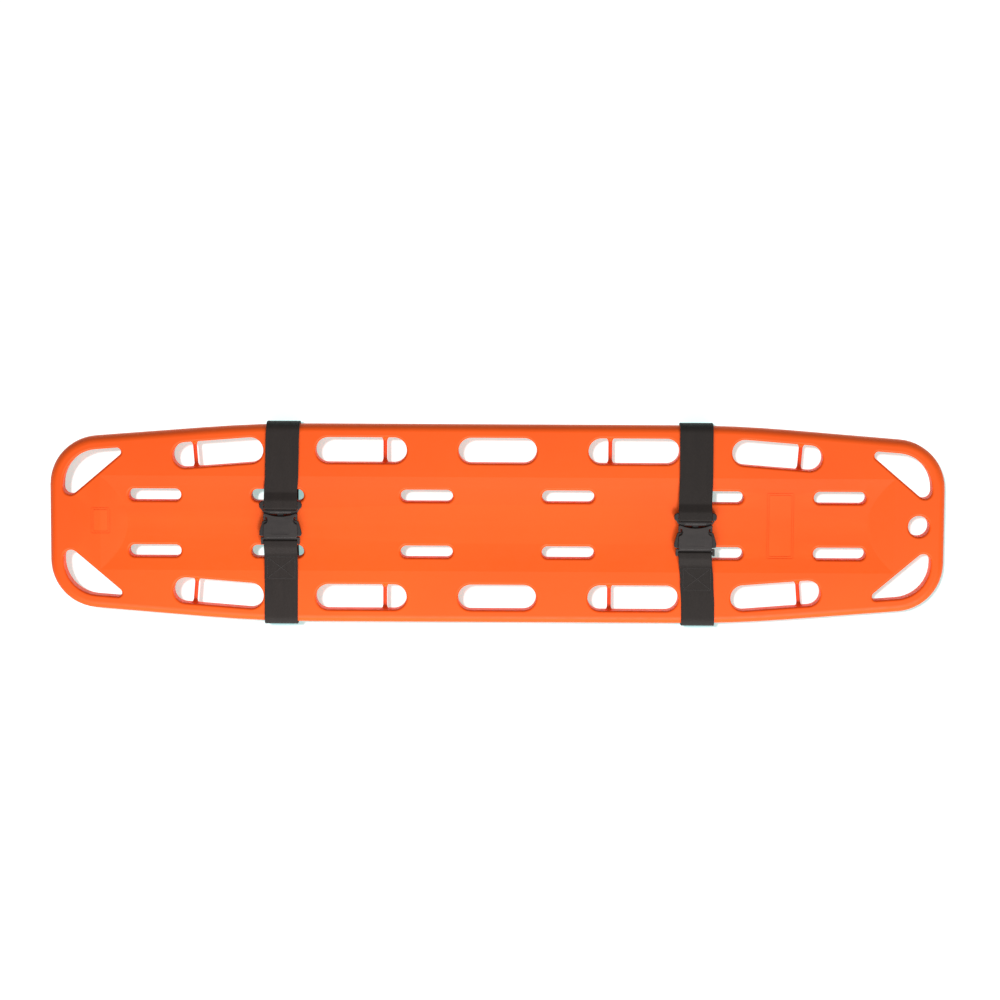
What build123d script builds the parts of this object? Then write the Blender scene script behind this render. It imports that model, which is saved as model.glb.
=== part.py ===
from build123d import *
import math
import os

# ---------------------------------------------------------------------------
# Spine board, millimetres. +X runs along the board towards the end with the
# round hole, +Y across it, +Z up. The origin is under the middle of the
# board, on the surface that the board lies on.
# ---------------------------------------------------------------------------

# Board outline
LENGTH = 1830.0
WIDTH = 407.0
TAPER_START = 486.0          # corner where the sides begin to draw in
TAPER_SLOPE = 0.0793         # about 4.5 degrees
TAPER_BLEND = 2800.0         # large radius that softens that corner
CORNER_RADIUS = 100.0
BODY_BOTTOM = 10.0
BODY_TOP = 50.0
EDGE_TOP_RADIUS = 15.0
EDGE_BOTTOM_RADIUS = 12.0
WALL = 4.0
LIP_TOP = 5.0
LIP_BOTTOM = 4.0

# Shallow dish along the middle of the top
DISH_HALF_WIDTH = 97.0
DISH_DEPTH = 5.0
DISH_FLOOR_END = 745.0
DISH_RAMP_END = 812.0

# Runners under the board
RUNNER_Y = 97.0
RUNNER_WIDTH = 30.0
RUNNERS = [(0.0, 620.0), (675.0, 210.0), (-675.0, 210.0)]   # centre, length

# Hand openings: distance of the centre from the middle, row, length, pin place
HAND_WIDTH = 52.5
HAND_ROW = 151.0
HAND_CENTRE_LENGTH = 160.0
HAND_INNER_X = 278.5
HAND_INNER_LENGTH = 186.0
PIN_INNER_X = 230.0
HAND_OUTER_X = 571.0
HAND_OUTER_ROW = 144.3
HAND_OUTER_LENGTH = 185.0
PIN_OUTER_X = 618.0
TAPER_ANGLE = math.degrees(math.atan(TAPER_SLOPE))

# Strap slots
SLOT_LENGTH = 107.0
SLOT_WIDTH = 25.0
SLOT_ROW = 57.6
SLOT_X = [144.7, 449.5, 700.5]

# Corner openings and the round hole
RIM = 27.0
DIAGONAL_POINT = (768.8, 141.0)
DIAGONAL_SLOPE = 0.8517
ROUND_HOLE_X = 862.0
ROUND_HOLE_RADIUS = 21.75

# Strap pins across the hand openings
PIN_RADIUS = 4.0
PIN_BORE_RADIUS = 4.05
PIN_SEAT = 12.0
PIN_Z = 31.0
BOSS_RADIUS = 8.0
FLARE = 7.0

# Frames moulded round two bare label areas
LABEL_FRAMES = [(578.5, 0.0, 55.0, 135.0), (-811.5, 4.5, 39.0, 53.0)]

# Foam filling and the plugs that close its filling holes
FOAM_GAP = 0.35
PLUG_X = 640.0
PLUG_RADIUS = 9.0
PLUG_FLANGE = 12.0

# Straps
WEB_WIDTH = 68.0
WEB_T = 2.0
STRAP_X = [-443.0, 404.5]    # middle of each strap along the board
BUCKLE_Y = [0.0, -20.0]      # where each buckle lies across the board
TOP_Z = 51.6                 # middle of the lower webbing layer on the board
TAIL_Z = 53.7                # middle of the layer on top of it
UNDER_Z = 8.0
TAIL_UNDER_Z = 5.9
LOOP_FAR_Y = 205.5
LOOP_NEAR_Y = -207.6
TAIL_FAR_Y = 207.6
RUN_END_Y = 188.0

# Buckle
MID_Z = 55.5
GAP_HALF = 4.1               # half the space between the socket's plates
PLATE_T = 3.4
BAR_RADIUS = 2.6
SOCKET_BAR_V = -37.0
LADDER_V = 33.0
ARM_PIVOT_U = 24.5
ARM_PIVOT_V = 22.8
ARM_HALF_T = 3.7


def outline_points():
    half_l = LENGTH / 2
    half_w = WIDTH / 2
    end_y = half_w - TAPER_SLOPE * (half_l - TAPER_START)
    quarter = [(TAPER_START, half_w), (half_l, end_y)]
    right = quarter + [(x, -y) for x, y in reversed(quarter)]
    left = [(-x, y) for x, y in reversed(right)]
    return right + left


def outline_sketch(z, inset=0.0):
    """The board seen from above, drawn in from its edge by the inset."""
    with BuildSketch(Plane.XY.offset(z)) as s:
        Polygon(*outline_points(), align=None)
        sides = [v for v in s.vertices() if abs(v.X) < 900]
        fillet(sides, TAPER_BLEND)
        ends = [v for v in s.vertices() if abs(v.X) > LENGTH / 2 - 0.01]
        fillet(ends, CORNER_RADIUS)
        if inset:
            offset(amount=-inset, kind=Kind.INTERSECTION)
    return s.sketch


def hand_openings():
    """Every hand opening: name, centre x, centre y, angle, length, pin offset along it."""
    rows = []
    for sy in (1, -1):
        rows.append((0.0, sy * HAND_ROW, 0.0, HAND_CENTRE_LENGTH, None))
        for sx in (1, -1):
            rows.append((sx * HAND_INNER_X, sy * HAND_ROW, 0.0, HAND_INNER_LENGTH,
                         sx * (PIN_INNER_X - HAND_INNER_X)))
            rows.append((sx * HAND_OUTER_X, sy * HAND_OUTER_ROW, -TAPER_ANGLE * sx * sy,
                         HAND_OUTER_LENGTH, sx * (PIN_OUTER_X - HAND_OUTER_X)))
    return rows


def corner_opening_points():
    """Corner opening before its corners are rounded, for the +X +Y corner."""
    x_out = LENGTH / 2 - RIM
    drop = RIM / math.cos(math.radians(TAPER_ANGLE))

    def taper(x):
        return WIDTH / 2 - drop - TAPER_SLOPE * (x - TAPER_START)

    px, py = DIAGONAL_POINT
    x_in = (py + DIAGONAL_SLOPE * px - (WIDTH / 2 - drop + TAPER_SLOPE * TAPER_START)) / (
        DIAGONAL_SLOPE - TAPER_SLOPE)
    return [(x_in, taper(x_in)), (x_out, taper(x_out)), (x_out, py - DIAGONAL_SLOPE * (x_out - px))]


def openings_sketch(z, grow=0.0):
    """All the through openings, seen from above, each larger by grow."""
    tip, outer, lower = corner_opening_points()
    with BuildSketch(Plane.XY) as corner:
        Polygon(tip, outer, lower, align=None)
        for target, radius in ((tip, 8.5), (outer, 73.0), (lower, 15.0)):
            v = corner.vertices().sort_by_distance(Vector(target[0], target[1], 0))[0]
            fillet(v, radius)
        if grow:
            offset(amount=grow, kind=Kind.ARC)
    with BuildSketch(Plane.XY.offset(z)) as s:
        for cx, cy, angle, length, pin in hand_openings():
            with Locations((cx, cy)):
                SlotOverall(length + 2 * grow, HAND_WIDTH + 2 * grow, rotation=angle)
        for x in SLOT_X:
            for sx in (1, -1):
                for sy in (1, -1):
                    with Locations((sx * x, sy * SLOT_ROW)):
                        SlotOverall(SLOT_LENGTH + 2 * grow, SLOT_WIDTH + 2 * grow)
        with Locations((ROUND_HOLE_X, 0)):
            Circle(ROUND_HOLE_RADIUS + grow)
        add(corner.sketch)
        add(mirror(corner.sketch, about=Plane.XZ, mode=Mode.PRIVATE))
        add(mirror(corner.sketch, about=Plane.YZ, mode=Mode.PRIVATE))
        add(mirror(mirror(corner.sketch, about=Plane.XZ, mode=Mode.PRIVATE),
                   about=Plane.YZ, mode=Mode.PRIVATE))
    return s.sketch


def runner_sketch(z, shrink=0.0):
    with BuildSketch(Plane.XY.offset(z)) as s:
        for sy in (1, -1):
            for cx, length in RUNNERS:
                with Locations((cx, sy * RUNNER_Y)):
                    RectangleRounded(length - 2 * shrink, RUNNER_WIDTH - 2 * shrink, 12 - shrink)
    return s.sketch


def pin_planes():
    """A plane per strap pin: its local x runs along the pin, its origin is the pin's middle."""
    planes = []
    for cx, cy, angle, length, pin in hand_openings():
        if pin is None:
            continue
        a = math.radians(angle)
        px, py = cx + pin * math.cos(a), cy + pin * math.sin(a)
        planes.append(Plane(origin=(px, py, PIN_Z), x_dir=(-math.sin(a), math.cos(a), 0),
                            z_dir=(math.cos(a), math.sin(a), 0)))
    return planes


def space_above_top(lower):
    """The space above the board's top, dish and its end ramps included, moved down by lower."""
    radius = (DISH_HALF_WIDTH ** 2 + DISH_DEPTH ** 2) / (2 * DISH_DEPTH)
    z_top = BODY_TOP - lower
    with BuildPart() as above:
        with BuildSketch(Plane.YZ) as section:
            with BuildLine():
                ThreePointArc((-DISH_HALF_WIDTH, z_top), (0, z_top - DISH_DEPTH),
                              (DISH_HALF_WIDTH, z_top))
                Polyline((DISH_HALF_WIDTH, z_top), (DISH_HALF_WIDTH, z_top + 20),
                         (-DISH_HALF_WIDTH, z_top + 20), (-DISH_HALF_WIDTH, z_top))
            make_face()
        extrude(amount=DISH_RAMP_END + 5, both=True)
        with BuildSketch(Plane.XZ) as ramps:
            Polygon((-DISH_RAMP_END, z_top), (-DISH_FLOOR_END, z_top - DISH_DEPTH - 1), (DISH_FLOOR_END, z_top - DISH_DEPTH - 1),
                    (DISH_RAMP_END, z_top), (DISH_RAMP_END, z_top + 30),
                    (-DISH_RAMP_END, z_top + 30), align=None)
        extrude(amount=120, both=True, mode=Mode.INTERSECT)
    return above.part


def boss_cylinders(radius, reach):
    """Round cores that run from inside one wall of an opening to inside the other."""
    with BuildPart() as cores:
        for plane in pin_planes():
            across = Plane(origin=plane.origin, x_dir=plane.z_dir, z_dir=plane.x_dir)
            with BuildSketch(across):
                Circle(radius)
            extrude(amount=HAND_WIDTH / 2 + reach, both=True)
    return cores.part


def inside_space(wall):
    """The space inside the shell for the given wall thickness."""
    with BuildPart() as space:
        add(outline_sketch(BODY_BOTTOM + wall, wall))
        extrude(amount=BODY_TOP - BODY_BOTTOM - 2 * wall)
        fillet(space.faces().sort_by(Axis.Z)[-1].edges(), EDGE_TOP_RADIUS - wall)
        fillet(space.faces().sort_by(Axis.Z)[0].edges(), EDGE_BOTTOM_RADIUS - wall)
        add(runner_sketch(wall, wall))
        extrude(amount=BODY_BOTTOM)
        add(space_above_top(wall), mode=Mode.SUBTRACT)
        add(openings_sketch(-1, wall))
        extrude(amount=60, mode=Mode.SUBTRACT)
        add(boss_cylinders(BOSS_RADIUS + wall - WALL, 14.0 + wall - WALL), mode=Mode.SUBTRACT)
    return space.part


# ---------------------------------------------------------------------------
# Grooves that frame the two bare label areas, to the same depth over the dish
# ---------------------------------------------------------------------------

with BuildPart() as grooves:
    with BuildSketch(Plane.XY.offset(40)):
        for gx, gy, gl, gw in LABEL_FRAMES:
            with Locations((gx, gy)):
                RectangleRounded(gl, gw, 4)
                RectangleRounded(gl - 2.4, gw - 2.4, 2.8, mode=Mode.SUBTRACT)
                RectangleRounded(gl - 8, gw - 8, 2.5)
                RectangleRounded(gl - 10, gw - 10, 1.5, mode=Mode.SUBTRACT)
    extrude(amount=15)

with BuildPart() as above_low:
    add(space_above_top(0.7))
    with BuildSketch(Plane.XY.offset(BODY_TOP - 0.7)):
        Rectangle(LENGTH, WIDTH)
    extrude(amount=15)

groove_cutter = grooves.part.intersect(above_low.part)

# ---------------------------------------------------------------------------
# Board shell: one hollow moulding
# ---------------------------------------------------------------------------

with BuildPart() as board_shell:
    add(outline_sketch(BODY_BOTTOM))
    extrude(amount=BODY_TOP - BODY_BOTTOM)
    fillet(board_shell.faces().sort_by(Axis.Z)[-1].edges(), EDGE_TOP_RADIUS)
    fillet(board_shell.faces().sort_by(Axis.Z)[0].edges(), EDGE_BOTTOM_RADIUS)

    # runners, drawn up from the surface that the board lies on
    add(runner_sketch(0))
    extrude(amount=BODY_BOTTOM)
    feet = [e for f in board_shell.faces().filter_by(Plane.XY).group_by(Axis.Z)[0] for e in f.edges()]
    fillet(feet, 4.0)
    joints = [e for e in board_shell.edges()
              if abs(e.center().Z - BODY_BOTTOM) < 0.01 and 80 < abs(e.center().Y) < 114
              and abs(e.center().X) < 790 and e.bounding_box().size.Z < 0.01
              and e.bounding_box().max.Y < 125 and e.bounding_box().min.Y > -125]
    fillet(joints, 3.0)

    # dish
    add(space_above_top(0), mode=Mode.SUBTRACT)

    # openings, with rounded lips above and below
    add(openings_sketch(-1))
    extrude(amount=60, mode=Mode.SUBTRACT)
    inner_walls = []
    for f in board_shell.faces():
        box = f.bounding_box()
        if box.size.Z > 30 and box.max.Z > 44 and box.min.Z < 11:
            inner_walls.append(f)
    top_lips, bottom_lips = [], []
    for f in inner_walls:
        for e in f.edges():
            b = e.bounding_box()
            if b.min.Z > 44:
                top_lips.append(e)
            elif b.max.Z < 11:
                bottom_lips.append(e)
    fillet(top_lips, LIP_TOP)
    fillet(bottom_lips, LIP_BOTTOM)

    # flared seats for the strap pins
    half = HAND_WIDTH / 2
    for plane in pin_planes():
        with BuildSketch(plane) as flare:
            for side in (1, -1):
                with BuildLine():
                    CenterArc((side * (half - FLARE), PIN_RADIUS + 0.5 + FLARE), FLARE, -90, 90 * side)
                    Polyline((side * half, PIN_RADIUS + 0.5 + FLARE),
                             (side * (half + 0.5), PIN_RADIUS + 0.5 + FLARE),
                             (side * (half + 0.5), BOSS_RADIUS),
                             (side * (half + 8.0), BOSS_RADIUS),
                             (side * (half + 8.0), 0),
                             (side * (half - FLARE), 0),
                             (side * (half - FLARE), PIN_RADIUS + 0.5))
                make_face()
        revolve(axis=Axis(plane.origin, plane.x_dir))

    # hollow inside
    add(inside_space(WALL), mode=Mode.SUBTRACT)

    # bores that hold the pins
    add(boss_cylinders(PIN_BORE_RADIUS, PIN_SEAT + 0.2), mode=Mode.SUBTRACT)

    # grooves that frame the two bare label areas
    add(groove_cutter, mode=Mode.SUBTRACT)

    # holes for the foam filling, closed by plugs from below
    for sx in (1, -1):
        with BuildSketch(Plane.XY.offset(BODY_BOTTOM - 1)):
            with Locations((sx * PLUG_X, 0)):
                Circle(PLUG_RADIUS + 0.05)
        extrude(amount=WALL + 1.5, mode=Mode.SUBTRACT)
        with BuildSketch(Plane.XY.offset(BODY_BOTTOM - 1)):
            with Locations((sx * PLUG_X, 0)):
                Circle(PLUG_FLANGE + 0.2)
        extrude(amount=2.2, mode=Mode.SUBTRACT)

os.makedirs("parts", exist_ok=True)
board_shell.part.label = "board_shell"
export_step(board_shell.part, "parts/board_shell.step")

# ---------------------------------------------------------------------------
# Foam filling
# ---------------------------------------------------------------------------

with BuildPart() as foam_core:
    add(inside_space(WALL + FOAM_GAP))

foam_core.part.label = "foam_core"
export_step(foam_core.part, "parts/foam_core.step")

# ---------------------------------------------------------------------------
# Plugs in the filling holes
# ---------------------------------------------------------------------------

for plug_name, sx in (("fill_plug_head", 1), ("fill_plug_foot", -1)):
    with BuildPart() as fill_plug:
        with BuildSketch(Plane.XY.offset(BODY_BOTTOM + 0.1)):
            with Locations((sx * PLUG_X, 0)):
                Circle(PLUG_FLANGE)
        extrude(amount=1.05)
        with BuildSketch(Plane.XY.offset(BODY_BOTTOM + 1.15)):
            with Locations((sx * PLUG_X, 0)):
                Circle(PLUG_RADIUS)
        extrude(amount=3.0)
        # slot for a screwdriver
        with BuildSketch(Plane.XY.offset(BODY_BOTTOM)):
            with Locations((sx * PLUG_X, 0)):
                SlotOverall(14, 2.4)
        extrude(amount=0.8, mode=Mode.SUBTRACT)
    fill_plug.part.label = plug_name
    export_step(fill_plug.part, "parts/" + plug_name + ".step")

# ---------------------------------------------------------------------------
# Strap pins, numbered from the foot end, left is +Y
# ---------------------------------------------------------------------------

ordered = sorted(pin_planes(), key=lambda p: (-(p.origin.Y > 0), p.origin.X))
for index, plane in enumerate(ordered):
    pin_name = "strap_pin_%d_%s" % (index % 4 + 1, "left" if plane.origin.Y > 0 else "right")
    across = Plane(origin=plane.origin, x_dir=plane.z_dir, z_dir=plane.x_dir)
    with BuildPart() as strap_pin:
        with BuildSketch(across):
            Circle(PIN_RADIUS)
        extrude(amount=HAND_WIDTH / 2 + PIN_SEAT, both=True)
        ends = strap_pin.edges().filter_by(GeomType.CIRCLE)
        chamfer(ends, 0.8)
    strap_pin.part.label = pin_name
    export_step(strap_pin.part, "parts/" + pin_name + ".step")


# ---------------------------------------------------------------------------
# Straps: flat webbing drawn in side view and made as wide as the webbing
# ---------------------------------------------------------------------------


def band_outline(points, radii, thickness):
    """Corner points and radii of a band that follows a bent path."""
    h = thickness / 2

    def unit(a, b):
        d = math.hypot(b[0] - a[0], b[1] - a[1])
        return ((b[0] - a[0]) / d, (b[1] - a[1]) / d)

    def side(sign):
        out, rounds = [], []
        for i, p in enumerate(points):
            if i == 0 or i == len(points) - 1:
                d = unit(points[0], points[1]) if i == 0 else unit(points[-2], points[-1])
                out.append((p[0] - d[1] * h * sign, p[1] + d[0] * h * sign))
                continue
            d1, d2 = unit(points[i - 1], p), unit(p, points[i + 1])
            m = (-(d1[1] + d2[1]), d1[0] + d2[0])
            size = math.hypot(*m)
            m = (m[0] / size, m[1] / size)
            k = h / (m[0] * -d1[1] + m[1] * d1[0])
            out.append((p[0] + m[0] * k * sign, p[1] + m[1] * k * sign))
            turn = 1 if d1[0] * d2[1] - d1[1] * d2[0] > 0 else -1
            rounds.append(radii[i - 1] - sign * turn * h)
        return out, rounds

    left, left_r = side(1)
    right, right_r = side(-1)
    return left + right[::-1], [0] + left_r + [0, 0] + right_r[::-1] + [0]


def path_length(points, radii):
    total = sum(math.dist(points[i], points[i + 1]) for i in range(len(points) - 1))
    for i, r in enumerate(radii):
        a = math.atan2(points[i + 1][1] - points[i][1], points[i + 1][0] - points[i][0])
        b = math.atan2(points[i + 2][1] - points[i + 1][1], points[i + 2][0] - points[i + 1][0])
        turn = abs((b - a + math.pi) % (2 * math.pi) - math.pi)
        total += r * turn - 2 * r * math.tan(turn / 2)
    return total


for number, (strap_x, buckle_y) in enumerate(zip(STRAP_X, BUCKLE_Y), start=1):
    side_plane = Plane.YZ.offset(strap_x)
    bar_y = buckle_y + SOCKET_BAR_V
    wrap = BAR_RADIUS + 0.3 + WEB_T / 2          # radius of the webbing round a bar

    # rigid loop: from the sewn fold at the socket, round the board, to the run
    loop_points = [(bar_y - 80, TAIL_Z), (bar_y - 24, TAIL_Z), (bar_y - 11, MID_Z + wrap),
                   (bar_y + wrap, MID_Z + wrap), (bar_y + wrap, MID_Z - wrap),
                   (LOOP_NEAR_Y, MID_Z - wrap), (LOOP_NEAR_Y, UNDER_Z), (LOOP_FAR_Y, UNDER_Z),
                   (LOOP_FAR_Y, TOP_Z), (RUN_END_Y, TOP_Z)]
    loop_radii = [12, 12, wrap - 0.05, wrap - 0.05, 15, 13, 13, 15]
    with BuildPart() as webbing_loop:
        pts, rads = band_outline(loop_points, loop_radii, WEB_T)
        with BuildSketch(side_plane):
            with BuildLine():
                FilletPolyline(*pts, radius=rads, close=True)
            make_face()
        extrude(amount=WEB_WIDTH / 2, both=True)
    webbing_loop.part.label = "webbing_%d_loop" % number
    export_step(webbing_loop.part, "parts/webbing_%d_loop.step" % number)

    # run: to the plug, round its ladder bar and back on top
    lad_y = buckle_y + LADDER_V
    run_points = [(RUN_END_Y, TOP_Z), (lad_y - wrap, TOP_Z), (lad_y - wrap, MID_Z + wrap),
                  (lad_y + 15, MID_Z + wrap), (lad_y + 31, TAIL_Z), (RUN_END_Y, TAIL_Z)]
    run_radii = [wrap - 0.05, wrap - 0.05, 12, 12]
    with BuildPart() as webbing_run:
        pts, rads = band_outline(run_points, run_radii, WEB_T)
        with BuildSketch(side_plane):
            with BuildLine():
                FilletPolyline(*pts, radius=rads, close=True)
            make_face()
        extrude(amount=WEB_WIDTH / 2, both=True)
    webbing_run.part.label = "webbing_%d_run" % number
    export_step(webbing_run.part, "parts/webbing_%d_run.step" % number)

    # loose end: over the edge on top of the loop, ending in a hem underneath
    tail_points = [(RUN_END_Y, TAIL_Z), (TAIL_FAR_Y, TAIL_Z), (TAIL_FAR_Y, TAIL_UNDER_Z),
                   (118, TAIL_UNDER_Z)]
    tail_radii = [17.1, 15.1]
    with BuildPart() as webbing_tail:
        pts, rads = band_outline(tail_points, tail_radii, WEB_T)
        with BuildSketch(side_plane):
            with BuildLine():
                FilletPolyline(*pts, radius=rads, close=True)
            make_face()
            with Locations((130, TAIL_UNDER_Z - 1.0)):
                Rectangle(26, 4.0)
        extrude(amount=WEB_WIDTH / 2, both=True)
    webbing_tail.part.label = "webbing_%d_tail" % number
    export_step(webbing_tail.part, "parts/webbing_%d_tail.step" % number)

    print("strap", number, "loop %.0f run %.0f tail %.0f mm" % (
        path_length(loop_points, loop_radii), path_length(run_points, run_radii),
        path_length(tail_points, tail_radii)))

    # sewing thread that joins the fold: a box with a cross in it
    stitch_top = TAIL_Z + WEB_T / 2
    box_l, box_w = 44.0, 56.0
    with BuildPart() as stitching:
        with BuildSketch(Plane.XY.offset(stitch_top)):
            with Locations((strap_x, bar_y - 53)):
                Rectangle(box_w, box_l)
                Rectangle(box_w - 2, box_l - 2, mode=Mode.SUBTRACT)
                for way in (1, -1):
                    Rectangle(math.hypot(box_w, box_l) - 3, 1.0,
                              rotation=way * math.degrees(math.atan2(box_l, box_w)))
        extrude(amount=0.5)
    stitching.part.label = "stitching_%d" % number
    export_step(stitching.part, "parts/stitching_%d.step" % number)

    # -----------------------------------------------------------------------
    # Buckle socket: two plates with open sides, a mouth, and a webbing bar
    # -----------------------------------------------------------------------

    def flat(z):
        return Plane(origin=(strap_x, buckle_y, z), x_dir=(1, 0, 0), z_dir=(0, 0, 1))

    plate_half = [(31.0, 22.0), (34.6, 21.2), (34.9, 17.2), (27.6, 14.0), (25.6, 8.0),
                  (28.0, 2.4), (34.0, -1.0), (35.0, -24.0), (32.5, -28.0)]
    with BuildPart() as buckle_socket:
        for z0 in (MID_Z + GAP_HALF, MID_Z - GAP_HALF - PLATE_T):
            with BuildSketch(flat(z0)) as plate:
                with BuildLine():
                    ThreePointArc((-31, 22), (0, 15.5), (31, 22))
                    Polyline(*plate_half)
                    Line(plate_half[-1], (-plate_half[-1][0], plate_half[-1][1]))
                    Polyline(*[(-u, v) for u, v in reversed(plate_half)])
                make_face()
                soft = [v for v in plate.vertices() if abs(v.X) > 5]
                fillet(soft, 1.1)
            extrude(amount=PLATE_T)
        # rounded edges on the outside of both plates
        rims = [e for f in (buckle_socket.faces().filter_by(Plane.XY).sort_by(Axis.Z)[-1],
                            buckle_socket.faces().filter_by(Plane.XY).sort_by(Axis.Z)[0])
                for e in f.edges()]
        fillet(rims, 1.0)
        # cheeks either side of the mouth, guides for the tongue
        with BuildSketch(flat(MID_Z - GAP_HALF)):
            for s in (1, -1):
                with Locations((s * 32.6, 14.6)):
                    RectangleRounded(4.0, 14.0, 0.8)
                with Locations((s * 7.6, -9.0)):
                    Rectangle(2.0, 37.0)
        extrude(amount=2 * GAP_HALF)
        # block that closes the back
        with BuildSketch(flat(49.6)):
            with Locations((0, -29.75)):
                Rectangle(79, 3.5)
            for s in (1, -1):
                with Locations((s * 37.3, -35.0)):
                    RectangleRounded(4.8, 14.0, 1.6)
        extrude(amount=11.8)
        # bar for the webbing
        with BuildSketch(Plane.YZ.offset(strap_x)):
            with Locations((buckle_y + SOCKET_BAR_V, MID_Z)):
                Circle(BAR_RADIUS)
        extrude(amount=36.0, both=True)
        # thumb panel sunk into the top
        with BuildSketch(flat(MID_Z + GAP_HALF + PLATE_T - 0.5)):
            with BuildLine():
                ThreePointArc((-15, 1), (0, 8.5), (15, 1))
                Polyline((15, 1), (18, -21), (-18, -21), (-15, 1))
            make_face()
        extrude(amount=1.0, mode=Mode.SUBTRACT)
    buckle_socket.part.label = "buckle_%d_socket" % number
    export_step(buckle_socket.part, "parts/buckle_%d_socket.step" % number)

    # -----------------------------------------------------------------------
    # Buckle plug: tongue, cross piece, rounded ears and two webbing bars
    # -----------------------------------------------------------------------
    with BuildPart() as buckle_plug:
        # ears and cross piece
        with BuildSketch(flat(MID_Z - 4.2)) as ears:
            with Locations((0, 38.0)):
                RectangleRounded(87.0, 17.0, 7.5)
            Polygon((-34.8, 22.6), (34.8, 22.6), (39.5, 31), (-39.5, 31), align=None)
        extrude(amount=8.4)
        brim = [e for f in (buckle_plug.faces().sort_by(Axis.Z)[-1], buckle_plug.faces().sort_by(Axis.Z)[0])
                for e in f.edges()]
        fillet(brim, 1.6)
        # the webbing's way between the ears, above and below the bars
        with BuildSketch(flat(MID_Z - 5)):
            with Locations((0, 37.5)):
                Rectangle(69.8, 19.8)
        extrude(amount=10, mode=Mode.SUBTRACT)
        # end bar and ladder bar
        with BuildSketch(flat(MID_Z - 2.5)):
            with Locations((0, 43.2)):
                Rectangle(72, 6.4)
        extrude(amount=5.0)
        with BuildSketch(Plane.YZ.offset(strap_x)):
            with Locations((buckle_y + LADDER_V, MID_Z)):
                Circle(BAR_RADIUS)
        extrude(amount=36.0, both=True)
        # thinner part that stands in the socket's mouth
        with BuildSketch(flat(MID_Z - 3.5)):
            with Locations((0, 22.5)):
                Rectangle(60, 4.0)
        extrude(amount=7.0)
        # tongue that runs between the socket's guides
        with BuildSketch(flat(MID_Z - 2.8)) as tongue:
            Polygon((-6, 21), (6, 21), (6, -14), (3, -19), (-3, -19), (-6, -14), align=None)
        extrude(amount=5.6)
        # seats for the knuckles of the two arms
        with BuildSketch(flat(MID_Z - 5)):
            for s in (1, -1):
                with Locations((s * ARM_PIVOT_U, ARM_PIVOT_V)):
                    Circle(3.3)
        extrude(amount=10, mode=Mode.SUBTRACT)
    buckle_plug.part.label = "buckle_%d_plug" % number
    export_step(buckle_plug.part, "parts/buckle_%d_plug.step" % number)

    # -----------------------------------------------------------------------
    # Sprung arms: knuckle, stem, catch and finger pad
    # -----------------------------------------------------------------------
    arm = [(22.9, 21.0), (26.1, 21.0), (28.9, 6.9), (33.7, 6.9), (37.2, 4.6), (40.0, -5.0),
           (42.6, -14.0), (43.4, -19.0), (42.4, -24.4), (37.0, -25.6), (30.0, -24.6),
           (27.2, -18.0), (25.2, -4.0), (23.2, 6.0)]
    arm_r = [0, 0, 0.8, 0.6, 2.5, 8.0, 8.0, 5.0, 2.5, 4.0, 3.0, 6.0, 6.0, 8.0]
    for side_name, s in (("right", 1), ("left", -1)):
        with BuildPart() as release_arm:
            with BuildSketch(flat(MID_Z - ARM_HALF_T)):
                with BuildLine():
                    FilletPolyline(*[(s * u, v) for u, v in arm], radius=arm_r, close=True)
                make_face()
                with Locations((s * ARM_PIVOT_U, ARM_PIVOT_V)):
                    Circle(3.0)
            extrude(amount=2 * ARM_HALF_T)
            pad = [e for e in release_arm.edges()
                   if abs(e.center().X - strap_x) > 36 and e.bounding_box().size.Z < 0.01]
            fillet(pad, 1.4)
            # finger grooves on the pad
            with BuildSketch(flat(MID_Z - 5)):
                for k in range(5):
                    v = -3.0 - 3.6 * k
                    edge = 40.0 + (5.0 + v) * -0.29 if v > -14 else 42.6 + (-14 - v) * 0.16
                    with Locations((s * (edge + 0.55), v)):
                        Rectangle(1.9, 1.1, rotation=s * -14 if v > -15 else 0)
            extrude(amount=10, mode=Mode.SUBTRACT)
        arm_name = "buckle_%d_arm_%s" % (number, side_name)
        release_arm.part.label = arm_name
        export_step(release_arm.part, "parts/" + arm_name + ".step")
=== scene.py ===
import math
import random

import bmesh
import bpy
from mathutils import Matrix, Vector


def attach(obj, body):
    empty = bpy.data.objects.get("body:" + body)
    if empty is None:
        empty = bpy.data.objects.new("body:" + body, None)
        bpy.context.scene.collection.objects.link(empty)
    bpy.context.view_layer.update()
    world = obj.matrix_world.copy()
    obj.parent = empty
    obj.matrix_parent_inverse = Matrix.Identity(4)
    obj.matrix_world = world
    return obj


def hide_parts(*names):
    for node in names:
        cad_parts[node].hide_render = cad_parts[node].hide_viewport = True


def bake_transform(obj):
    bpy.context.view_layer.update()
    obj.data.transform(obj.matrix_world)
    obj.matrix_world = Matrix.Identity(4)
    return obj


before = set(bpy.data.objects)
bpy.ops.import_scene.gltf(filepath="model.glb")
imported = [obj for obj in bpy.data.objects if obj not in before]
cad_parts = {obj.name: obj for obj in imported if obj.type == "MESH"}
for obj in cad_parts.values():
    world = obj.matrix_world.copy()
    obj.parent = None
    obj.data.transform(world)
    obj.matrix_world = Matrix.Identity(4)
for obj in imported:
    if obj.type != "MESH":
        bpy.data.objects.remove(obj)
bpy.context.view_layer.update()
random.seed(41)

MM = 0.001
scene = bpy.context.scene
scene.view_settings.view_transform = "Standard"
scene.view_settings.look = "None"
scene.view_settings.exposure = 0.0
scene.view_settings.gamma = 1.0


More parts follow.
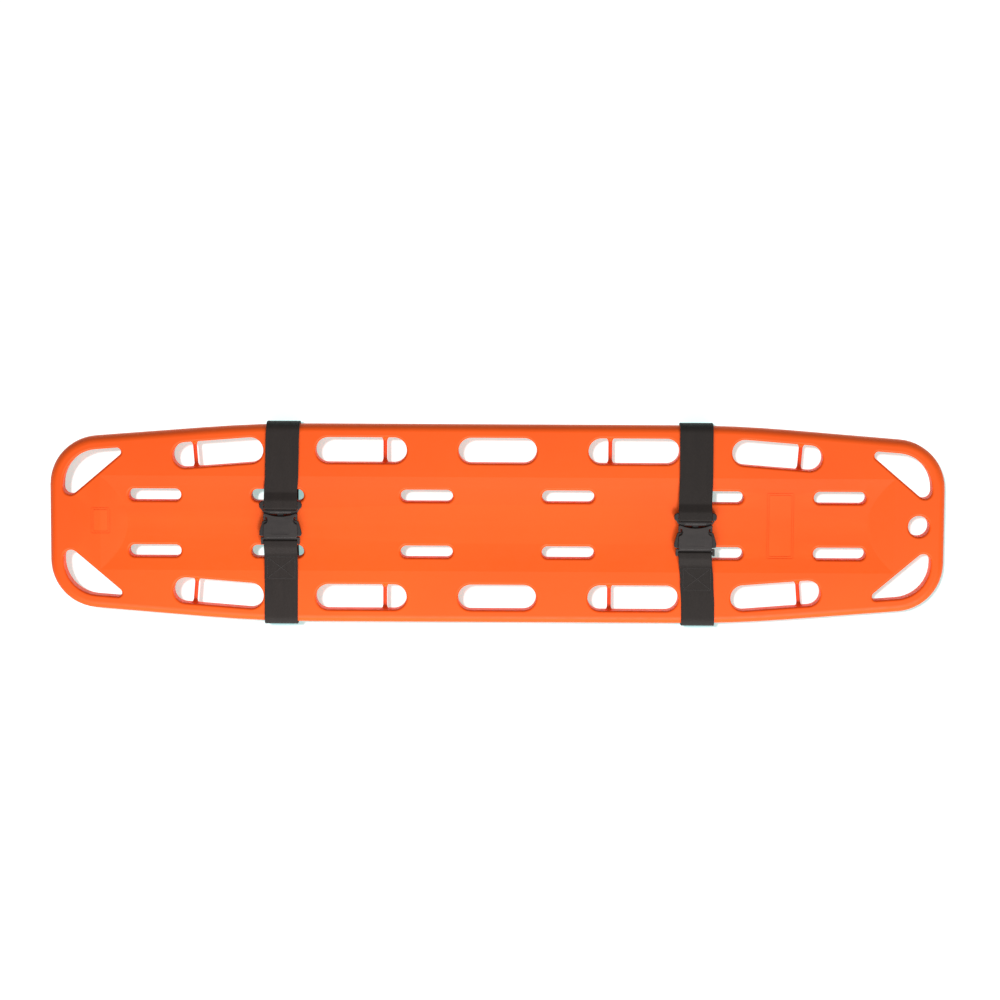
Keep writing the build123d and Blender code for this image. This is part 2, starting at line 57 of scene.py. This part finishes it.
# ---------------------------------------------------------------- node helpers
def new_material(name):
    mat = bpy.data.materials.new(name)
    mat.use_nodes = True
    nodes = mat.node_tree.nodes
    for n in list(nodes):
        nodes.remove(n)
    out = nodes.new("ShaderNodeOutputMaterial")
    bsdf = nodes.new("ShaderNodeBsdfPrincipled")
    mat.node_tree.links.new(bsdf.outputs["BSDF"], out.inputs["Surface"])
    return mat, bsdf


class Graph:
    """Short calls for building one material's node tree."""

    def __init__(self, mat):
        self.tree = mat.node_tree
        self.nodes = mat.node_tree.nodes
        self.links = mat.node_tree.links

    def put(self, socket, value):
        if isinstance(value, bpy.types.NodeSocket):
            self.links.new(value, socket)
        elif value is not None:
            socket.default_value = value

    def coord(self):
        return self.nodes.new("ShaderNodeTexCoord").outputs["Object"]

    def uv(self):
        n = self.nodes.new("ShaderNodeUVMap")
        n.uv_map = "web"
        return n.outputs["UV"]

    def mapping(self, vector, scale=(1, 1, 1), rotation=(0, 0, 0), location=(0, 0, 0)):
        n = self.nodes.new("ShaderNodeMapping")
        self.put(n.inputs["Vector"], vector)
        n.inputs["Scale"].default_value = scale
        n.inputs["Rotation"].default_value = rotation
        n.inputs["Location"].default_value = location
        return n.outputs["Vector"]

    def noise(self, vector, scale, detail=3.0, roughness=0.5, distortion=0.0):
        n = self.nodes.new("ShaderNodeTexNoise")
        self.put(n.inputs["Vector"], vector)
        n.inputs["Scale"].default_value = scale
        n.inputs["Detail"].default_value = detail
        n.inputs["Roughness"].default_value = roughness
        n.inputs["Distortion"].default_value = distortion
        return n.outputs["Fac"]

    def voronoi(self, vector, scale, feature="F1"):
        n = self.nodes.new("ShaderNodeTexVoronoi")
        n.feature = feature
        self.put(n.inputs["Vector"], vector)
        n.inputs["Scale"].default_value = scale
        return n.outputs["Distance"]

    def math(self, operation, a, b=None, c=None, clamp=False):
        n = self.nodes.new("ShaderNodeMath")
        n.operation = operation
        n.use_clamp = clamp
        self.put(n.inputs[0], a)
        self.put(n.inputs[1], b)
        if c is not None:
            self.put(n.inputs[2], c)
        return n.outputs[0]

    def remap(self, value, from_min, from_max, to_min, to_max, smooth=False):
        n = self.nodes.new("ShaderNodeMapRange")
        n.interpolation_type = "SMOOTHSTEP" if smooth else "LINEAR"
        self.put(n.inputs["Value"], value)
        n.inputs["From Min"].default_value = from_min
        n.inputs["From Max"].default_value = from_max
        n.inputs["To Min"].default_value = to_min
        n.inputs["To Max"].default_value = to_max
        return n.outputs["Result"]

    def mix(self, factor, a, b, blend="MIX"):
        n = self.nodes.new("ShaderNodeMix")
        n.data_type = "RGBA"
        n.blend_type = blend
        self.put(n.inputs[0], factor)
        self.put(n.inputs[6], a)
        self.put(n.inputs[7], b)
        return n.outputs[2]

    def bump(self, height, strength, distance, normal=None):
        n = self.nodes.new("ShaderNodeBump")
        n.inputs["Strength"].default_value = strength
        n.inputs["Distance"].default_value = distance
        self.put(n.inputs["Height"], height)
        if normal is not None:
            self.links.new(normal, n.inputs["Normal"])
        return n.outputs["Normal"]

    def split(self, vector):
        n = self.nodes.new("ShaderNodeSeparateXYZ")
        self.put(n.inputs[0], vector)
        return n.outputs

    def pointiness(self):
        return self.nodes.new("ShaderNodeNewGeometry").outputs["Pointiness"]

    def normal(self):
        return self.nodes.new("ShaderNodeNewGeometry").outputs["Normal"]


# ---------------------------------------------------------------- materials
def moulded_orange(name, base, dark, light, rough, scuffed=True):
    mat, bsdf = new_material(name)
    g = Graph(mat)
    p = g.coord()
    # colour drifts slowly over the moulding, with a faint pigment grain
    drift = g.noise(p, 2.6, 2.0, 0.5)
    colour = g.mix(g.remap(drift, 0.35, 0.65, 0.0, 1.0, True), base, dark)
    grain = g.noise(p, 900.0, 2.0, 0.6)
    colour = g.mix(g.remap(grain, 0.45, 0.75, 0.0, 0.16), colour, light)
    rough_value = g.remap(g.noise(p, 55.0, 4.0, 0.6), 0.3, 0.7, rough - 0.05, rough + 0.05)
    if scuffed:
        # the runners slide on the ground: pale drag marks along the board
        streak = g.noise(g.mapping(p, (14.0, 420.0, 40.0)), 1.0, 5.0, 0.7)
        low = g.remap(g.split(p)[2], 0.0006, 0.0045, 1.0, 0.0)
        mark = g.math("MULTIPLY", low, g.remap(streak, 0.48, 0.66, 0.0, 0.8), clamp=True)
        # short hairline scratches on the deck
        hair = g.voronoi(g.mapping(p, (26.0, 340.0, 60.0), (0, 0, 0.5)), 1.0, "DISTANCE_TO_EDGE")
        patch = g.remap(g.noise(p, 9.0, 2.0, 0.5), 0.56, 0.7, 0.0, 0.5)
        hair = g.math("MULTIPLY", g.remap(hair, 0.0, 0.018, 0.35, 0.0), patch, clamp=True)
        colour = g.mix(g.math("MAXIMUM", mark, hair), colour, light)
        rough_value = g.math("ADD", rough_value, g.math("MULTIPLY", mark, 0.2))
        edge = g.remap(g.pointiness(), 0.52, 0.6, 0.0, 0.25)
        colour = g.mix(edge, colour, light)
    g.put(bsdf.inputs["Base Color"], colour)
    g.put(bsdf.inputs["Roughness"], rough_value)
    peel = g.noise(p, 260.0, 3.0, 0.55)
    fine = g.noise(p, 1900.0, 2.0, 0.5)
    height = g.math("ADD", peel, g.math("MULTIPLY", fine, 0.35))
    g.put(bsdf.inputs["Normal"], g.bump(height, 0.16, 0.0006))
    bsdf.inputs["Specular IOR Level"].default_value = 0.25
    return mat


def webbing_material(name, dark, light, sheen):
    """Herringbone polypropylene webbing: yarn columns lengthwise, each a row of slanted floats."""
    mat, bsdf = new_material(name)
    g = Graph(mat)
    uv = g.uv()
    u, v, _ = g.split(uv)
    column_width, float_length = 1.55 * MM, 2.3 * MM
    across = g.math("DIVIDE", u, column_width)
    column = g.math("FLOOR", across)
    part = g.math("FRACT", across)
    side = g.math("SUBTRACT", g.math("MULTIPLY", g.math("PINGPONG", column, 1.0), 2.0), 1.0)
    slant = g.math("MULTIPLY", g.math("MULTIPLY", side, part), 0.85)
    along = g.math("ADD", g.math("DIVIDE", v, float_length), slant)
    thread = g.math("ABSOLUTE", g.math("SINE", g.math("MULTIPLY", along, math.pi)))
    crown = g.math("SINE", g.math("MULTIPLY", part, math.pi))
    height = g.math("MULTIPLY", g.math("POWER", thread, 0.6), g.math("POWER", crown, 0.5))
    # fibres and slow unevenness, and painted shade: the colour darkens where the weave is low, in the gaps between
    # yarns
    fibre = g.noise(g.mapping(uv, (2600.0, 260.0, 1.0)), 1.0, 3.0, 0.6)
    slow = g.noise(g.mapping(uv, (60.0, 9.0, 1.0)), 1.0, 3.0, 0.55)
    # painted shade in the weave's gaps, multiplied with random fibre and slow tone
    gap_shade_and_tone = g.math("MULTIPLY", g.remap(height, 0.1, 0.95, 0.25, 1.0), g.remap(fibre, 0.3, 0.7, 0.75, 1.15))
    gap_shade_and_tone = g.math("MULTIPLY", gap_shade_and_tone, g.remap(slow, 0.3, 0.7, 0.8, 1.15), clamp=True)
    g.put(bsdf.inputs["Base Color"], g.mix(gap_shade_and_tone, dark, light))
    g.put(bsdf.inputs["Roughness"], g.remap(fibre, 0.3, 0.7, 0.62, 0.8))
    total = g.math("ADD", height, g.math("MULTIPLY", fibre, 0.25))
    g.put(bsdf.inputs["Normal"], g.bump(total, 0.7, 0.00035))
    bsdf.inputs["Specular IOR Level"].default_value = 0.3
    bsdf.inputs["Sheen Weight"].default_value = sheen
    bsdf.inputs["Sheen Roughness"].default_value = 0.45
    return mat


def thread_material():
    mat, bsdf = new_material("thread")
    g = Graph(mat)
    p = g.coord()
    twist = g.noise(g.mapping(p, (900.0, 900.0, 900.0)), 1.0, 3.0, 0.6)
    g.put(bsdf.inputs["Base Color"], g.mix(g.remap(twist, 0.3, 0.7, 0.0, 1.0), (0.02, 0.016, 0.015, 1), (0.055, 0.048, 0.044, 1)))
    g.put(bsdf.inputs["Roughness"], g.remap(twist, 0.3, 0.7, 0.5, 0.68))
    g.put(bsdf.inputs["Normal"], g.bump(twist, 0.4, 0.0002))
    bsdf.inputs["Sheen Weight"].default_value = 0.2
    return mat


def buckle_material(name, base, light, wear):
    mat, bsdf = new_material(name)
    g = Graph(mat)
    p = g.coord()
    flow = g.noise(g.mapping(p, (30.0, 90.0, 60.0)), 1.0, 3.0, 0.5)
    colour = g.mix(g.remap(flow, 0.35, 0.65, 0.0, 1.0), base, light)
    edge = g.remap(g.pointiness(), 0.53, 0.66, 0.0, 0.55)
    broken = g.remap(g.noise(p, 480.0, 3.0, 0.6), 0.42, 0.6, 0.0, 1.0)
    colour = g.mix(g.math("MULTIPLY", edge, broken), colour, wear)
    g.put(bsdf.inputs["Base Color"], colour)
    spark = g.noise(p, 1500.0, 2.0, 0.5)
    g.put(bsdf.inputs["Roughness"], g.remap(spark, 0.3, 0.7, 0.38, 0.52))
    height = g.math("ADD", spark, g.math("MULTIPLY", g.noise(p, 520.0, 2.0, 0.5), 0.5))
    g.put(bsdf.inputs["Normal"], g.bump(height, 0.35, 0.00025))
    bsdf.inputs["Specular IOR Level"].default_value = 0.5
    return mat


def foam_material():
    mat, bsdf = new_material("foam")
    g = Graph(mat)
    p = g.coord()
    cell = g.voronoi(p, 420.0)
    g.put(bsdf.inputs["Base Color"], g.mix(g.remap(cell, 0.1, 0.7, 0.0, 1.0), (0.62, 0.5, 0.3, 1), (0.8, 0.7, 0.48, 1)))
    g.put(bsdf.inputs["Roughness"], g.remap(cell, 0.1, 0.7, 0.8, 0.95))
    g.put(bsdf.inputs["Normal"], g.bump(cell, 0.6, 0.001))
    return mat


ORANGE = moulded_orange(
    "moulded_orange", (0.88, 0.098, 0.005, 1), (0.865, 0.089, 0.004, 1), (0.93, 0.15, 0.02, 1), 0.52)
PIN_ORANGE = moulded_orange(
    "pin_orange", (0.76, 0.062, 0.012, 1), (0.72, 0.055, 0.010, 1), (0.85, 0.1, 0.02, 1), 0.42, scuffed=False)
PLUG_ORANGE = moulded_orange(
    "plug_orange", (0.72, 0.066, 0.009, 1), (0.66, 0.055, 0.008, 1), (0.85, 0.11, 0.02, 1), 0.46, scuffed=False)
WEB = {
    1: webbing_material("webbing_1", (0.007, 0.0050, 0.0043, 1), (0.025, 0.0172, 0.0145, 1), 0.05),
    2: webbing_material("webbing_2", (0.0064, 0.0046, 0.0039, 1), (0.021, 0.0150, 0.0125, 1), 0.04),
}
THREAD = thread_material()
BUCKLE = buckle_material("buckle_plastic", (0.0165, 0.0120, 0.0112, 1), (0.0245, 0.0185, 0.0170, 1), (0.07, 0.06, 0.056, 1))
# painted shade: a darker copy of the same buckle plastic for the plug parts, which sit lower than the socket plate and
# partly under the webbing
BUCKLE_SHADED = buckle_material("buckle_plastic_painted_shade", (0.010, 0.0075, 0.007, 1), (0.016, 0.012, 0.0115, 1), (0.06, 0.052, 0.048, 1))
FOAM = foam_material()


def dress(node, mat):
    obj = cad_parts[node]
    obj.data.materials.clear() if len(obj.material_slots) == 0 else None
    if not obj.material_slots:
        obj.data.materials.append(mat)
    for s in obj.material_slots:
        s.material = mat


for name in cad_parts:
    if name == "board_shell":
        dress(name, ORANGE)
    elif name.startswith("strap_pin"):
        dress(name, PIN_ORANGE)
    elif name.startswith("fill_plug"):
        dress(name, PLUG_ORANGE)
    elif name == "foam_core":
        dress(name, FOAM)
    elif name.endswith("_socket"):
        dress(name, BUCKLE)
    elif name.startswith("buckle"):
        # painted shade: the plug parts take the darker copy of the buckle plastic
        dress(name, BUCKLE_SHADED)


# ---------------------------------------------------------------- webbing
STRAP_X = {1: -443.0, 2: 404.5}
BUCKLE_Y = {1: 0.0, 2: -20.0}
# sideways drift of each strap, (y, x shift) in mm: neither lies quite square across the board
DRIFT = {
    1: [(-210, 0.8), (-90, 1.2), (-38, 0.0), (60, 0.0), (100, 2.4), (160, 3.6), (215, 5.6)],
    2: [(-210, 7.2), (-165, 6.8), (-115, 4.2), (-60, 0.0), (40, 0.0), (100, 1.4), (215, 1.0)],
}
WIDTH, HALF_T = 68.0, 1.0


def drift(n, y):
    table = DRIFT[n]
    if y <= table[0][0]:
        return table[0][1]
    for (y0, x0), (y1, x1) in zip(table, table[1:]):
        if y <= y1:
            t = (y - y0) / (y1 - y0)
            t = t * t * (3 - 2 * t)
            return x0 + (x1 - x0) * t
    return table[-1][1]


def rounded_path(points, radii, step=5.0):
    """Points, tangents and distances along straight runs joined by arcs, in (y, z) mm."""
    points = [Vector(p) for p in points]
    legs = []
    for i, r in enumerate(radii, start=1):
        a = (points[i] - points[i - 1]).normalized()
        b = (points[i + 1] - points[i]).normalized()
        turn = a.angle_signed(b)
        legs.append((i, r, a, b, -turn, r * math.tan(abs(turn) / 2)))
    out = []
    here = points[0]
    for i, r, a, b, turn, cut in legs:
        enter = points[i] - a * cut
        run = (enter - here).length
        count = max(1, int(round(run / step)))
        for k in range(count):
            out.append((here.lerp(enter, k / count), a))
        side = Vector((-a.y, a.x)) * (1 if turn > 0 else -1)
        centre = enter + side * r
        count = max(3, int(math.ceil(abs(turn) / math.radians(9))))
        for k in range(count):
            angle = turn * k / count
            c, s = math.cos(angle), math.sin(angle)
            arm = enter - centre
            out.append((centre + Vector((arm.x * c - arm.y * s, arm.x * s + arm.y * c)),
                        Vector((a.x * c - a.y * s, a.x * s + a.y * c))))
        here = points[i] + b * cut
    last = (points[-1] - points[-2]).normalized()
    count = max(1, int(round((points[-1] - here).length / step)))
    for k in range(count + 1):
        out.append((here.lerp(points[-1], k / count), last))
    travelled, result = 0.0, []
    for k, (p, t) in enumerate(out):
        if k:
            travelled += (p - out[k - 1][0]).length
        result.append((p, t, travelled))
    return result


def section():
    """The webbing's cross-section, (across, out) in mm: shallow ribs on both faces and full selvedges."""
    half, top = WIDTH / 2, []
    count = 34
    for k in range(count + 1):
        s = -half + 1.3 + (WIDTH - 2.6) * k / count
        rib = 0.055 * math.cos(2 * math.pi * s / (WIDTH / 8.5))
        edge = 0.06 if abs(s) > half - 4.2 else 0.0
        dip = -0.10 if half - 6.2 < abs(s) < half - 4.2 else 0.0
        top.append((s, HALF_T - 0.115 + rib + edge + dip))
    nose = [(half - 0.55, HALF_T * 0.72), (half - 0.1, HALF_T * 0.38), (half, 0.0),
            (half - 0.1, -HALF_T * 0.38), (half - 0.55, -HALF_T * 0.72)]
    ring = list(top)
    ring += nose
    ring += [(s, -z) for s, z in reversed(top)]
    ring += [(-s, -z) for s, z in nose]
    return ring


def webbing(name, n, points, radii, body, node, cap_start=True, cap_end=True, wave=0.0):
    path = rounded_path(points, radii)
    ring = section()
    mesh = bpy.data.meshes.new(name)
    bm = bmesh.new()
    uv = bm.loops.layers.uv.new("web")
    rows, total = [], path[-1][2]
    for p, t, s in path:
        normal = Vector((-t.y, t.x))
        x0 = STRAP_X[n] + drift(n, p.x)
        ripple = wave * math.sin(s * 0.031 + n) * math.sin(s * 0.0173 + 0.6 * n)
        row = []
        for across, out in ring:
            y = p.x + normal.x * (out + ripple)
            z = p.y + normal.y * (out + ripple)
            row.append(bm.verts.new(((x0 + across) * MM, y * MM, z * MM)))
        rows.append((row, s))
    width = [across for across, _ in ring]
    m = len(ring)
    for (a, sa), (b, sb) in zip(rows, rows[1:]):
        for k in range(m):
            j = (k + 1) % m
            face = bm.faces.new((a[k], a[j], b[j], b[k]))
            face.smooth = True
            for loop, (w, s) in zip(face.loops, ((width[k], sa), (width[j], sa), (width[j], sb), (width[k], sb))):
                loop[uv].uv = ((w + 40.0) * MM, s * MM)
    for row, s, wanted in ((rows[0][0], rows[0][1], cap_start), (rows[-1][0], rows[-1][1], cap_end)):
        face = bm.faces.new(row)
        for edge in face.edges:
            edge.smooth = False
        for loop, w in zip(face.loops, width):
            loop[uv].uv = ((w + 40.0) * MM, s * MM)
    bmesh.ops.recalc_face_normals(bm, faces=bm.faces)
    bm.to_mesh(mesh)
    bm.free()
    obj = bpy.data.objects.new(name, mesh)
    scene.collection.objects.link(obj)
    mesh.materials.append(WEB[n])
    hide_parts(node)
    return obj


def thread_run(bm, a, b, lift, radius=0.42, pitch=3.6):
    """One row of lock stitches from a to b, (x, y, z) mm: short raised loops that dip into the webbing."""
    a, b = Vector(a), Vector(b)
    length = (b - a).length
    count = max(1, int(round(length / pitch)))
    along = (b - a).normalized()
    side = along.cross(Vector((0, 0, 1))).normalized()
    for k in range(count):
        start = a + along * (length * (k + 0.08) / count)
        end = a + along * (length * (k + 0.92) / count)
        rows, steps = [], 8
        for i in range(steps + 1):
            t = i / steps
            rise = math.sin(math.pi * t) ** 0.5
            centre = start.lerp(end, t) + Vector((0, 0, lift * rise - radius * 0.9))
            r = radius * (0.55 + 0.45 * rise)
            row = []
            for q in range(8):
                w = 2 * math.pi * q / 8
                row.append(bm.verts.new((centre + side * (r * math.cos(w)) + Vector((0, 0, r * math.sin(w)))) * MM))
            rows.append(row)
        for r0, r1 in zip(rows, rows[1:]):
            for q in range(8):
                face = bm.faces.new((r0[q], r0[(q + 1) % 8], r1[(q + 1) % 8], r1[q]))
                face.smooth = True
        bm.faces.new(rows[0])
        bm.faces.new(rows[-1])


def stitches(name, runs, lift, body, node=None):
    bm = bmesh.new()
    for a, b in runs:
        thread_run(bm, a, b, lift)
    bmesh.ops.recalc_face_normals(bm, faces=bm.faces)
    mesh = bpy.data.meshes.new(name)
    bm.to_mesh(mesh)
    bm.free()
    mesh.materials.append(THREAD)
    obj = bpy.data.objects.new(name, mesh)
    scene.collection.objects.link(obj)
    if node:
        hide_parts(node)
    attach(obj, body)
    return obj


for n in (1, 2):
    bar = BUCKLE_Y[n] - 37.0
    lad = BUCKLE_Y[n] + 33.0
    strap, plug = f"strap_{n}", f"plug_{n}"
    wrap = 3.9
    loop = webbing(
        f"web_{n}_loop", n,
        [(bar - 80, 53.7), (bar - 24, 53.7), (bar - 11, 59.4), (bar + wrap, 59.4), (bar + wrap, 51.6),
         (-207.6, 51.6), (-207.6, 8), (205.5, 8), (205.5, 51.6), (188, 51.6)],
        [12, 12, 3.85, 3.85, 15, 13, 13, 15], strap, f"webbing_{n}_loop")
    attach(loop, strap)
    tail = webbing(
        f"web_{n}_tail", n,
        [(188, 53.7), (207.6, 53.7), (207.6, 5.9), (118, 5.9)],
        [17.1, 15.1], strap, f"webbing_{n}_tail")
    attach(tail, strap)
    run = webbing(
        f"web_{n}_run", n,
        [(188, 51.6), (lad - wrap, 51.6), (lad - wrap, 59.4), (lad + 15, 59.4), (lad + 31, 53.7), (188, 53.7)],
        [3.85, 3.85, 12, 12], strap, f"webbing_{n}_run")
    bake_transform(run)

    # the sewn fold: a box of lock stitches with a cross
    cy = bar - 53.0
    x0, x1, y0, y1, z = STRAP_X[n] - 28, STRAP_X[n] + 28, cy - 22, cy + 22, 54.75
    x0 += drift(n, cy)
    x1 += drift(n, cy)
    stitches(
        f"thread_{n}_box",
        [((x0, y0, z), (x1, y0, z)), ((x1, y0, z), (x1, y1, z)), ((x1, y1, z), (x0, y1, z)),
         ((x0, y1, z), (x0, y0, z)), ((x0 + 1.5, y0 + 1.5, z), (x1 - 1.5, y1 - 1.5, z)),
         ((x0 + 1.5, y1 - 1.5, z), (x1 - 1.5, y0 + 1.5, z))],
        0.55, strap, f"stitching_{n}")


# ---------------------------------------------------------------- floor and light
floor_mesh = bpy.data.meshes.new("floor")
floor_mesh.from_pydata([(-9, -9, 0), (9, -9, 0), (9, 9, 0), (-9, 9, 0)], [], [(0, 1, 2, 3)])
floor = bpy.data.objects.new("floor", floor_mesh)
floor.location = (0, 0, -0.0004)
scene.collection.objects.link(floor)
mat, bsdf = new_material("floor")
g = Graph(mat)
g.put(bsdf.inputs["Base Color"], g.mix(g.noise(g.coord(), 1.5), (0.88, 0.88, 0.885, 1), (0.90, 0.90, 0.90, 1)))
bsdf.inputs["Roughness"].default_value = 0.9
bsdf.inputs["Specular IOR Level"].default_value = 0.1
bsdf.inputs["Emission Color"].default_value = (0.42, 1.0, 1.0, 1)
bsdf.inputs["Emission Strength"].default_value = 0.5
floor_mesh.materials.append(mat)

world = bpy.data.worlds.new("world")
scene.world = world
world.use_nodes = True
world.node_tree.nodes["Background"].inputs["Color"].default_value = (1.0, 1.0, 1.0, 1)
world.node_tree.nodes["Background"].inputs["Strength"].default_value = 0.34


def lamp(name, kind, energy, direction, colour=(1, 1, 1), angle=6.0, size=(1.0, 1.0), distance=4.0):
    data = bpy.data.lights.new(name, kind)
    data.energy = energy
    data.color = colour
    if kind == "SUN":
        data.angle = math.radians(angle)
    else:
        data.shape = "RECTANGLE"
        data.size, data.size_y = size
    obj = bpy.data.objects.new(name, data)
    d = Vector(direction).normalized()
    obj.location = d * distance
    obj.rotation_mode = "QUATERNION"
    obj.rotation_quaternion = d.to_track_quat("Z", "Y")
    scene.collection.objects.link(obj)
    obj.visible_camera = False
    return obj


only_floor = bpy.data.collections.new("lit_floor")
only_floor.objects.link(floor)
not_floor = bpy.data.collections.new("lit_object")
not_floor.objects.link(floor)
not_floor.collection_objects[0].light_linking.link_state = "EXCLUDE"

shade_light = lamp("floor_light", "SUN", 2.05, (-0.24, 0.22, 1.0), angle=6.0)
shade_light.light_linking.receiver_collection = only_floor
key = lamp("key", "SUN", 1.55, (0.35, -0.75, 1.0), angle=18.0)
key.light_linking.receiver_collection = not_floor
side = lamp("side", "AREA", 30.0, (0.0, -1.0, 0.95), size=(2.8, 0.5), distance=1.45)
side.light_linking.receiver_collection = not_floor

# ---------------------------------------------------------------- camera
SCALE = 2.0425 * MM  # metres a pixel on the deck
distance, tilt, roll = 6.0, math.radians(6.0), math.radians(0.3)
target = Vector((2.5 * SCALE, 24.7 * SCALE, 0.05))
back = Vector((0, math.sin(tilt), math.cos(tilt)))
right = Vector((1, 0, 0))
up = back.cross(right)
right, up = right * math.cos(roll) + up * math.sin(roll), up * math.cos(roll) - right * math.sin(roll)
cam_data = bpy.data.cameras.new("camera")
cam_data.sensor_width = 36.0
cam_data.lens = 36.0 * distance / (1000 * SCALE)
cam_data.clip_start, cam_data.clip_end = 0.05, 60.0
cam = bpy.data.objects.new("camera", cam_data)
cam.matrix_world = Matrix((
    (right.x, up.x, back.x, target.x + back.x * distance),
    (right.y, up.y, back.y, target.y + back.y * distance),
    (right.z, up.z, back.z, target.z + back.z * distance),
    (0, 0, 0, 1)))
scene.collection.objects.link(cam)
scene.camera = cam
